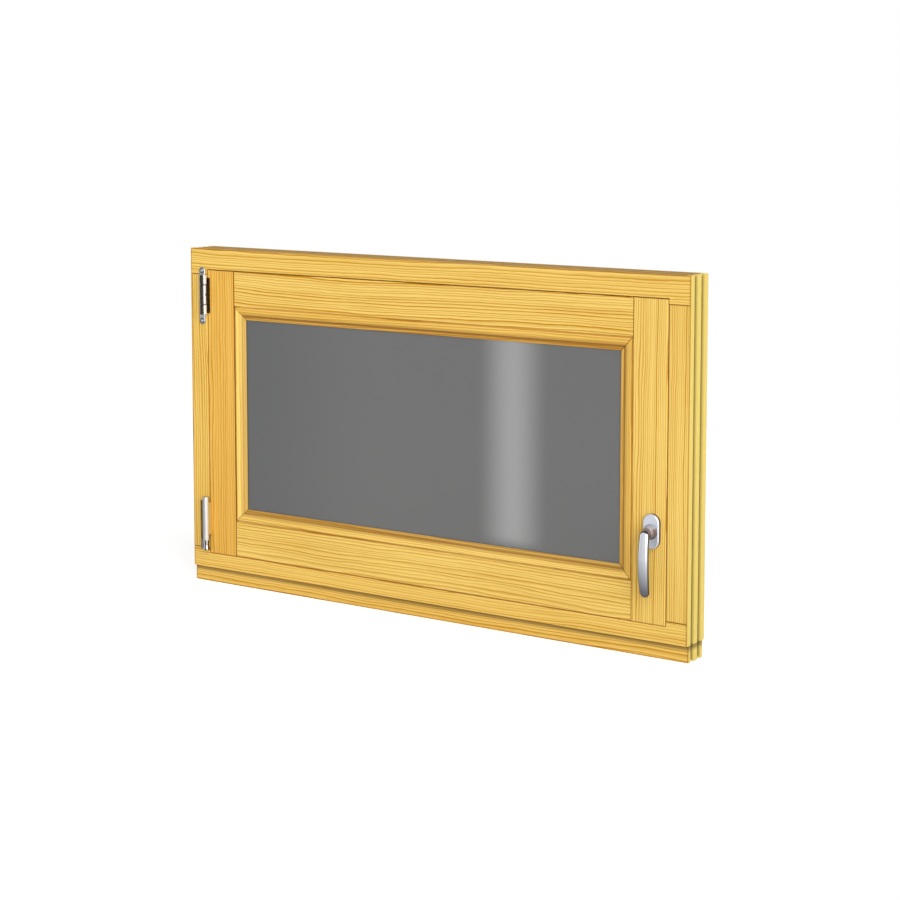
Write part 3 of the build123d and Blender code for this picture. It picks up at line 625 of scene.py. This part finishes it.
def pine(name, upright, pith, ring_width, wander=0.016, contrast=1.0, early=EARLY_WOOD, late=LATE_WOOD,
         joints="Frame Joints", bead=0.0):
    """Lacquered pine whose grain runs along its member, with painted shade in its seams, grooves and on the
    head's top, and a painted shadow below the step. pith is where the ring centre lies: along, through and
    across. joints names the joint lines on it, and bead is how strong the painted shade in a glazing bead's
    quirk and cove is."""
    material, tree, shader, coordinates = new_material(name)
    along = coordinates
    if upright:
        turned = {"Vector": along, "Rotation": (0, math.pi / 2, 0)}
        along = add_node(tree, "ShaderNodeMapping", turned).outputs[0]
    grain = place_group(tree, pine_grain, along)
    values = {"Pith": pith, "Ring Width": ring_width, "Wander": wander, "Contrast": contrast,
              "Early Wood": (*early, 1), "Late Wood": (*late, 1)}
    for label, value in values.items():
        grain.inputs[label].default_value = value
    places = place_group(tree, timber_places, coordinates, coordinates.node.outputs["Normal"]).outputs
    # The outer edge is planed bare wood, with painted shade in its grooves and on the head's top
    color = blend_colors(tree, places["Edge"], grain.outputs["Color"], (*EDGE_WOOD, 1))
    color = stain(tree, times(tree, places["Edge"], places["Groove Shade"]), color, GROOVE_SHADE_TINT)
    color = stain(tree, places["Top"], color, TOP_SHADE_TINT)
    color = stain(tree, places["Border"], color, BORDER_STAIN)
    fibres = times(tree, times(tree, places["Edge"], grain.outputs["Height"]), BARE_FIBRES)
    color = stain(tree, fibres, color, FIBRE_STAIN)
    # Painted shade on the seams' rounded edges and walls, less on level faces
    color = stain(tree, places["Seam"], color, SEAM_SHADE_TINT)
    # Painted shade deep in the seams; level faces there get a plain wood colour instead
    deep = (*DEEP_SHADE_WOOD, 1)
    if not bead:
        deep = blend_colors(tree, places["Level"], deep, (*LEVEL_WOOD, 1))
    color = blend_colors(tree, places["Deep Shade"], color, deep)
    # Painted shadow below the step
    color = stain(tree, places["Step Shadow"], color, STEP_SHADOW_TINT)
    if joints:
        color = stain(tree, places[joints], color, JOINT_STAIN)
    if bead:
        # Painted shade in the bead's quirk and cove, and dark mitre lines
        marks = place_group(tree, bead_places, coordinates).outputs
        color = stain(tree, times(tree, marks["Cove Shade"], bead), color, COVE_SHADE_TINT)
        color = stain(tree, marks["Mitre"], color, JOINT_STAIN)
    join(tree, color, shader, "Base Color")
    bare = times(tree, places["Edge"], BARE_ROUGHNESS)
    join(tree, compute(tree, "MAXIMUM", grain.outputs["Roughness"], bare), shader, "Roughness")
    shader.inputs["Specular IOR Level"].default_value = TIMBER_SPECULAR
    join_bump(tree, shader, grain.outputs["Height"], *TIMBER_BUMP)
    return material


def marked(name, color, metallic, roughness, spread, marks, strength=0.1, distance=0.0002):
    """A plain finish with fine marks: marks are the three stretches and the scale."""
    material, tree, shader, coordinates = new_material(name)
    worn = place_marks(tree, coordinates, marks[:3], marks[3])
    shader.inputs["Metallic"].default_value = metallic
    darker = tuple(0.9 * part for part in color)
    join(tree, blend_colors(tree, worn["Mask"], (*darker, 1), (*color, 1)), shader, "Base Color")
    rough = compute(tree, "MULTIPLY_ADD", worn["Mask"], spread, roughness - spread / 2)
    join(tree, rough, shader, "Roughness")
    join_bump(tree, shader, worn["Height"], strength, distance)
    return material


def hinge_metal(name, satin, polished=DARK_REFLECTION_STEEL, amount=None, highlights=NO_HIGHLIGHTS):
    """Hinge plating: satin where flat, and on the barrel polished steel painted near black for the dark
    reflection it shows. amount says how much of the piece is polished, and highlights is the pattern of
    painted highlight stripes round the axis."""
    material, tree, shader, coordinates = new_material(name)
    worn = place_marks(tree, coordinates, *HINGE_MARKS)
    places = place_group(tree, hinge_places, coordinates).outputs
    glossy = places["Barrel"] if amount is None else amount
    # Painted highlight stripes round the axis
    stripes = ramp(tree, places["Turn"], highlights)
    bright = blend_colors(tree, stripes, (*polished, 1), (*HIGHLIGHT_STEEL, 1))
    if amount is None:
        # Painted shade in the gaps between the knuckles and in the set screw's hole
        bright = stain(tree, places["Knuckle"], bright, KNUCKLE_GAP_SHADE)
        bright = stain(tree, places["Hole"], bright, SOCKET_SHADE)
    color = blend_colors(tree, glossy, (*satin, 1), bright)
    if amount is None:
        # Painted shade round the plate's screw heads
        color = stain(tree, places["Ring"], color, SCREW_RING_SHADE)
    join(tree, stain(tree, worn["Mask"], color, PLATING_STAIN), shader, "Base Color")
    # The painted highlight stripes are made less metallic, so they mirror little
    highlight_share = times(tree, stripes, glossy)
    join(tree, compute(tree, "MULTIPLY_ADD", highlight_share, HIGHLIGHT_METALLIC_CHANGE, 1.0), shader, "Metallic")
    rough = compute(tree, "MULTIPLY_ADD", worn["Mask"], *SATIN_ROUGHNESS)
    smooth = compute(tree, "MULTIPLY_ADD", worn["Mask"], *POLISHED_ROUGHNESS)
    both = add_node(tree, "ShaderNodeMix", {0: glossy, 2: rough, 3: smooth}).outputs[0]
    join(tree, both, shader, "Roughness")
    join_bump(tree, shader, worn["Height"], *HINGE_BUMP)
    return material


def sleeve_metal():
    """The lower hinge's sleeve: satin with painted highlight stripes, and an arm painted like the timber it
    lies on.
    """
    material = hinge_metal("hinge_sleeve_metal", SLEEVE_STEEL, SLEEVE_STEEL, 1.0, SLEEVE_HIGHLIGHTS)
    tree, shader, coordinates = open_material(material)
    x = split(tree, coordinates.outputs["Object"])[0]
    arm = fade(tree, x, *(hinge_axis_x + part for part in ARM_START))
    painted = blend_colors(tree, arm, source(shader, "Base Color"), (*ARM_PAINT, 1))
    join(tree, painted, shader, "Base Color")
    metallic = compute(tree, "MULTIPLY_ADD", arm, -1.0, source(shader, "Metallic"), clamp=True)
    join(tree, metallic, shader, "Metallic")
    return material


def lever_metal():
    """Satin silver with painted shade towards the lever's tip, on its top and round its edges, painted
    highlights and light a little to the handle's side, and the neck's painted shade, a dull brown, behind the
    lever's top."""
    material, tree, shader, coordinates = new_material("lever_silver")
    x, y, z = split(tree, coordinates)
    normal = split(tree, coordinates.node.outputs["Normal"])
    worn = place_marks(tree, coordinates, *SILVER_MARKS)
    span = {"Value": z, "From Min": lever_low, "From Max": lever_high}
    height = add_node(tree, "ShaderNodeMapRange", span).outputs[0]
    # Painted shade towards the tip, painted highlights by the turn of the face, and painted light across to
    # the handle's side
    tone = ramp(tree, height, LEVER_TIP_SHADE)
    side = ramp(tree, turn_of(tree, normal[0], normal[1]), LEVER_HIGHLIGHTS)
    across = fade(tree, x, handle_x - lever_half_width, handle_x + 0.5 * lever_half_width)
    side = times(tree, side, compute(tree, "MULTIPLY_ADD", across, *PAINTED_LIGHT_ACROSS))
    color = blend_colors(tree, times(tree, tone, side), (*LEVER_SHADE, 1), (*LEVER_LIT, 1))
    # Painted shade on the lever's top faces
    color = stain(tree, fade(tree, normal[2], *LEVER_TOP), color, LEVER_TOP_SHADE)
    # Painted shade with the wood's reflection on the neck behind the lever's top
    behind = fade(tree, y, *(neck_end - part for part in NECK_BACK))
    neck = times(tree, behind, fade(tree, z, *(handle_z - part for part in NECK_FOOT)))
    color = blend_colors(tree, neck, color, (*LEVER_NECK_SHADE, 1))
    join(tree, stain(tree, worn["Mask"], color, SILVER_STAIN), shader, "Base Color")
    join(tree, compute(tree, "MULTIPLY_ADD", neck, NECK_SHADE_CHANGE, 1.0), shader, "Metallic")
    join(tree, compute(tree, "MULTIPLY_ADD", worn["Mask"], *LEVER_ROUGHNESS), shader, "Roughness")
    join_bump(tree, shader, worn["Height"], *SILVER_BUMP)
    return material


def neck_metal():
    """Satin silver with painted light on its upper faces, and painted shade, a dull brown, beside and darker
    below.
    """
    material = marked("neck_silver", COVER_SHADED_SIDE, 0.35, 0.38, 0.08, (1, 1, 1, 900), 0.06, 0.0001)
    tree, shader, coordinates = open_material(material)
    up = split(tree, coordinates.outputs["Normal"])[2]
    base = source(shader, "Base Color")
    color = blend_colors(tree, fade(tree, up, *COVER_UP), base, (*COVER_LIT_TOP, 1))
    color = stain(tree, fade(tree, up, *COVER_DOWN), color, COVER_UNDER_SHADE)
    join(tree, color, shader, "Base Color")
    return material


def rosette_metal():
    """Satin silver with painted shade, brown with the wood's reflection, on its side walls."""
    material, tree, shader, coordinates = new_material("rosette_silver")
    worn = place_marks(tree, coordinates, *SILVER_MARKS)
    facing = size_of(tree, split(tree, coordinates.node.outputs["Normal"])[1])
    color = blend_colors(tree, fade(tree, facing, *ROSETTE_SIDE), (*ROSETTE_FACE, 1), (*ROSETTE_WALL_SHADE, 1))
    join(tree, stain(tree, worn["Mask"], color, SILVER_STAIN), shader, "Base Color")
    shader.inputs["Metallic"].default_value = ROSETTE_METALLIC
    join(tree, compute(tree, "MULTIPLY_ADD", worn["Mask"], *ROSETTE_ROUGHNESS), shader, "Roughness")
    join_bump(tree, shader, worn["Height"], *SILVER_BUMP)
    return material


def tinted_glass():
    """Float glass that shows grey, with a painted reflection a little lighter to the handle's side, and faint
    wiping marks.
    """
    material, tree, shader, coordinates = new_material("float_glass")
    side = fade(tree, split(tree, coordinates)[0], *PANE_REFLECTION_FADE)
    smear = noise(tree, stretch(tree, coordinates, PANE_SMEARS), 6.0, 3.0).outputs[0]
    join(tree, blend_colors(tree, side, (*PANE_DARK, 1), (*PANE_LIGHT, 1)), shader, "Base Color")
    join(tree, compute(tree, "MULTIPLY_ADD", smear, *PANE_ROUGHNESS), shader, "Roughness")
    shader.inputs["Transmission Weight"].default_value = PANE_TRANSMISSION
    shader.inputs["IOR"].default_value = PANE_IOR
    return material


def timber_finishes():
    """Each timber with a pith of its own, so that no two show the same grain."""
    sash = "Sash Joints"
    return {
        "frame_head": pine("pine_head", False, (0.4, 0.055, 0.66), 0.0034, 0.018, 1.15, HEAD_WOOD),
        "frame_sill": pine("pine_sill", False, (2.3, 0.060, -0.06), 0.0034, 0.016, 1.1, SILL_WOOD),
        "sash_rail_top": pine("pine_rail_top", False, (4.1, 0.050, 0.42), 0.0038, 0.03, 1.4, joints=sash),
        "sash_rail_bottom": pine("pine_rail_bottom", False, (6.2, 0.050, 0.02), 0.0034, 0.02, 1.08,
                                 joints=sash),
        # Each bead's painted shade is as strong as its bead value, least on the left one that faces the light
        "bead_top": pine("pine_bead_top", False, (8.0, 0.060, 0.40), 0.0036, early=BEAD_WOOD,
                         joints=None, bead=1.0),
        "bead_bottom": pine("pine_bead_bottom", False, (9.5, 0.050, 0.22), 0.0036, joints=None, bead=0.9),
        "frame_jamb_hinge": pine("pine_jamb_hinge", True, (11.0, 0.06, 0.55), 0.0032, 0.01, 1.3, HEAD_WOOD),
        "frame_jamb_handle": pine("pine_jamb_handle", True, (12.7, 0.05, -0.58), 0.0027, 0.012, 1.1),
        "sash_stile_hinge": pine("pine_stile_hinge", True, (14.2, 0.09, 0.50), 0.0028, 0.01, 1.2,
                                 EARLY_WARM, LATE_WARM, joints=sash),
        "sash_stile_handle": pine("pine_stile_handle", True, (16.0, 0.05, -0.35), 0.0028, 0.014, 1.15,
                                  joints=sash),
        "bead_left": pine("pine_bead_left", True, (18.0, 0.06, 0.30), 0.0040, 0.01, 0.6,
                          joints=None, bead=0.5),
        "bead_right": pine("pine_bead_right", True, (20.0, 0.05, -0.33), 0.0034, 0.012, 0.9, BEAD_WOOD,
                           joints=None, bead=0.8),
    }


def plain_finishes():
    """The finish of each material slot whose pieces all look alike."""
    return {
        "clear_glass": tinted_glass(),
        "gear_steel": marked("gear_zinc", (0.62, 0.64, 0.67), 1.0, 0.34, 0.18, (1, 1, 0.3, 500)),
        "rail_aluminium": marked("rail_mill", (0.74, 0.75, 0.76), 1.0, 0.36, 0.12, (0.03, 1, 1, 900)),
        "spacer_aluminium": marked("spacer_mill", (0.70, 0.71, 0.72), 1.0, 0.42, 0.10, (0.1, 1, 0.1, 900)),
        "black_rubber": marked("seal_rubber", (0.060, 0.045, 0.032), 0.0, 0.62, 0.20, (1, 1, 1, 700), 0.3),
        "block_plastic": marked("block_blue", (0.08, 0.20, 0.38), 0.0, 0.48, 0.16, (1, 1, 1, 500), 0.2),
        "cap_plastic": marked("cap_grey", (0.26, 0.26, 0.27), 0.0, 0.50, 0.16, (1, 1, 1, 500), 0.2),
    }


def fitting_finishes():
    """The finishes of hinges and handle."""
    return {
        "upper_hinge_plate": hinge_metal("hinge_plate_metal", SATIN_STEEL, highlights=BARREL_HIGHLIGHTS),
        "upper_hinge_leaf": hinge_metal("hinge_leaf_metal", LEAF_REFLECTION_STEEL, highlights=BARREL_HIGHLIGHTS),
        "upper_hinge_pin": hinge_metal("hinge_pin_metal", SATIN_STEEL, amount=0.8, highlights=BARREL_HIGHLIGHTS),
        "lower_hinge_bracket": hinge_metal("hinge_bracket_metal", SATIN_STEEL, BRACKET_REFLECTION_STEEL, 1.0,
                                           BRACKET_HIGHLIGHTS),
        "lower_hinge_sleeve": sleeve_metal(),
        "lower_hinge_pin": hinge_metal("lower_pin_metal", SATIN_STEEL, amount=0.0),
        "handle_lever": lever_metal(),
        "handle_rosette": rosette_metal(),
    }


def dress_nodes():
    """Gives each solid its finish."""
    finishes = timber_finishes()
    plain = plain_finishes()
    for part in frame["record"]["subparts"]:
        if part["material_slot"] in plain:
            finishes[part["node"]] = plain[part["material_slot"]]
    finishes.update(fitting_finishes())
    for name, material in finishes.items():
        frame["nodes"][name].material_slots[0].material = material


def keep_piece(name, shape, metal, body="window"):
    """Makes an object of the bmesh, riding on the body."""
    mesh = bpy.data.meshes.new(name)
    shape.to_mesh(mesh)
    shape.free()
    mesh.materials.append(metal)
    piece = bpy.data.objects.new(name, mesh)
    bpy.context.scene.collection.objects.link(piece)
    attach(piece, body)


def face_room(shape, place):
    """Turns a shape that was made facing up, so that it faces the room at this place."""
    turned = Matrix.Translation(place) @ Matrix.Rotation(math.pi / 2, 4, "X")
    bmesh.ops.transform(shape, matrix=turned, verts=shape.verts)


def dome_screw(name, place, metal):
    """A domed screw head with a round socket, facing the room."""
    radius, height = SCREW_RADIUS, SCREW_HEIGHT
    shape = bmesh.new()
    bmesh.ops.create_cone(shape, cap_ends=True, segments=24, radius1=radius, radius2=0.8 * radius,
                          depth=height)
    front = max(shape.faces, key=lambda face: face.calc_center_median().z)
    bmesh.ops.bevel(shape, geom=list(front.edges), offset=0.5 * height, segments=3, profile=0.5,
                    affect="EDGES", material=-1)
    front = max(shape.faces, key=lambda face: face.calc_center_median().z)
    bmesh.ops.inset_individual(shape, faces=[front], thickness=0.45 * radius)
    bmesh.ops.inset_individual(shape, faces=[front], thickness=0.02 * radius, depth=-0.5 * height)
    face_room(shape, place)
    keep_piece(name, shape, metal)


def fit_screws():
    """The two screws in the round ends of the upper hinge's plate."""
    metal = hinge_metal("hinge_screw_metal", SCREW_STEEL, amount=0.0)
    middle_y = room_face - plate_thickness - SCREW_HEIGHT / 2
    for name, z in (("hinge_screw_upper", screw_high), ("hinge_screw_lower", screw_low)):
        dome_screw(name, (screw_x, middle_y, z), metal)


def fit_neck_cover():
    """The cover over the lever's neck, from just off the rosette to inside the lever's back."""
    shape = bmesh.new()
    bmesh.ops.create_cone(shape, cap_ends=True, segments=64, radius1=COVER_RADII[0], radius2=COVER_RADII[1],
                          depth=COVER_FOOT)
    face_room(shape, Vector((handle_x, rosette_front - COVER_GAP - COVER_FOOT / 2, handle_z)))
    for further, narrower, taller, lower in COVER_STEPS:
        front = min(shape.faces, key=lambda face: face.calc_center_median().y)
        grown = bmesh.ops.extrude_face_region(shape, geom=[front])["geom"]
        rim = [part for part in grown if isinstance(part, bmesh.types.BMVert)]
        middle = sum((vert.co for vert in rim), Vector()) / len(rim)
        bmesh.ops.scale(shape, vec=(narrower, 1, taller), space=Matrix.Translation(-middle), verts=rim)
        bmesh.ops.translate(shape, vec=(0, -further, -lower), verts=rim)
    bmesh.ops.recalc_face_normals(shape, faces=shape.faces)
    for face in shape.faces:
        face.smooth = len(face.verts) == 4
    keep_piece("handle_neck_cover", shape, neck_metal(), "handle")


def fit_sleeve_shield():
    """A thin hinge leaf on the jamb beside the lower hinge's sleeve, dark brown as the sleeve's painted
    shadow on the jamb.
    """
    metal = hinge_metal("hinge_shield_shadow_metal", SHIELD_SHADOW_STEEL, amount=0.0)
    sleeve_low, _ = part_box("lower_hinge_sleeve")
    shape = bmesh.new()
    bmesh.ops.create_cube(shape, size=1.0)
    left, right = hinge_axis_x - SHIELD_LEFT, hinge_axis_x - SHIELD_RIGHT
    size = Vector((right - left, SHIELD_DEPTH, SHIELD_HEIGHT))
    middle = Vector(((left + right) / 2, room_face - size.y / 2, sleeve_low.z + SHIELD_LIFT + size.z / 2))
    placed = Matrix.Translation(middle) @ Matrix.Diagonal((*size, 1))
    bmesh.ops.transform(shape, matrix=placed, verts=shape.verts)
    half_out = room_face - 0.5 * size.y
    front = [edge for edge in shape.edges if all(vert.co.y < half_out for vert in edge.verts)]
    bmesh.ops.bevel(shape, geom=front, offset=SHIELD_BEVEL, segments=2, profile=0.5, affect="EDGES",
                    material=-1)
    keep_piece("lower_hinge_shadow_shield", shape, metal)


def make_camera():
    """The camera at the photograph's place."""
    data = bpy.data.cameras.new("camera")
    data.lens = CAMERA_LENS
    data.shift_y = CAMERA_SHIFT
    camera = bpy.data.objects.new("camera", data)
    camera.location = CAMERA_PLACE
    camera.rotation_euler = (math.pi / 2 - CAMERA_PITCH, 0, CAMERA_TURN)
    bpy.context.scene.collection.objects.link(camera)
    bpy.context.scene.camera = camera


def seen_rays(tree):
    """1 for the rays that show a background: camera, glossy and transmission."""
    paths = tree.nodes.new("ShaderNodeLightPath").outputs
    seen = compute(tree, "MAXIMUM", paths["Is Camera Ray"], paths["Is Glossy Ray"])
    return compute(tree, "MAXIMUM", seen, paths["Is Transmission Ray"])


def make_world():
    """White to the camera and in reflections, a softer white as light."""
    world = bpy.data.worlds.new("world")
    bpy.context.scene.world = world
    world.use_nodes = True
    tree = world.node_tree
    background = tree.nodes["Background"]
    background.inputs["Color"].default_value = (1, 1, 1, 1)
    strength = compute(tree, "MULTIPLY_ADD", seen_rays(tree), 1 - WORLD_LEVEL, WORLD_LEVEL)
    tree.links.new(strength, background.inputs["Strength"])


def grid_object(name, size, material, matrix):
    """A flat square made by one operator and put in place."""
    shape = bmesh.new()
    shape.loops.layers.uv.new("UVMap")
    bmesh.ops.create_grid(shape, x_segments=1, y_segments=1, size=size / 2, calc_uvs=True)
    bmesh.ops.transform(shape, matrix=matrix, verts=shape.verts)
    mesh = bpy.data.meshes.new(name)
    shape.to_mesh(mesh)
    shape.free()
    mesh.materials.append(material)
    placed = bpy.data.objects.new(name, mesh)
    bpy.context.scene.collection.objects.link(placed)
    return placed


def make_floor():
    """A plain pale floor that keeps the shadow and thins out into the white far away."""
    material, tree, shader, coordinates = new_material("floor_white")
    shader.inputs["Base Color"].default_value = (*FLOOR_TONE, 1)
    away = add_node(tree, "ShaderNodeVectorMath", {0: coordinates}, operation="LENGTH").outputs["Value"]
    span = {"Value": away, "From Min": FLOOR_FADE[0], "From Max": FLOOR_FADE[1], "To Min": 1.0, "To Max": 0.0}
    near = add_node(tree, "ShaderNodeMapRange", span, interpolation_type="SMOOTHSTEP")
    join(tree, near.outputs[0], shader, "Alpha")
    shader.inputs["Roughness"].default_value = 1.0
    shader.inputs["Specular IOR Level"].default_value = 0.0
    shader.inputs["Emission Color"].default_value = (1, 1, 1, 1)
    join(tree, times(tree, seen_rays(tree), FLOOR_GLOW), shader, "Emission Strength")
    grid_object("floor", FLOOR_SIZE, material, Matrix.Identity(4))


def make_sun(name, origin, level, softness):
    """A wide soft light from one direction. level is how bright it makes a white surface that faces it."""
    data = bpy.data.lights.new(name, "SUN")
    data.energy = level * math.pi
    data.angle = softness
    lamp = bpy.data.objects.new(name, data)
    lamp.rotation_euler = Vector(origin).to_track_quat("Z", "Y").to_euler()
    bpy.context.scene.collection.objects.link(lamp)


def make_light_strip():
    """A soft upright strip of light, seen only as the reflection in the pane."""
    material = bpy.data.materials.new("strip_light")
    material.use_nodes = True
    tree = material.node_tree
    tree.nodes.clear()
    spots = tree.nodes.new("ShaderNodeTexCoord").outputs["UV"]
    across = ramp(tree, split(tree, spots)[0], STRIP_ACROSS, "EASE")
    along = ramp(tree, split(tree, spots)[1], STRIP_ALONG, "EASE")
    strength = times(tree, times(tree, across, along), STRIP_PEAK)
    glow = add_node(tree, "ShaderNodeEmission", {"Strength": strength})
    clear = tree.nodes.new("ShaderNodeBsdfTransparent")
    both = add_node(tree, "ShaderNodeAddShader", {0: glow.outputs[0], 1: clear.outputs[0]})
    add_node(tree, "ShaderNodeOutputMaterial", {0: both.outputs[0]})
    turned = Matrix.Translation(STRIP_PLACE) @ Matrix.Rotation(math.pi / 2, 4, "X")
    strip = grid_object("light_strip", 1.0, material, turned @ Matrix.Diagonal((*STRIP_SIZE, 1, 1)))
    strip.visible_camera = False
    strip.visible_diffuse = False
    strip.visible_shadow = False


def make_stage():
    """Floor, world, lamps and camera."""
    make_camera()
    make_world()
    make_floor()
    make_sun("key_right", *KEY_SUN)
    make_sun("back_fill", *FILL_SUN)
    make_light_strip()


pine_grain = pine_grain_group()
surface_marks = surface_marks_group()
timber_places = timber_places_group()
bead_places = bead_places_group()
hinge_places = hinge_places_group()
dress_nodes()
fit_screws()
fit_neck_cover()
fit_sleeve_shield()
make_stage()

bpy.context.scene.view_settings.view_transform = "Standard"
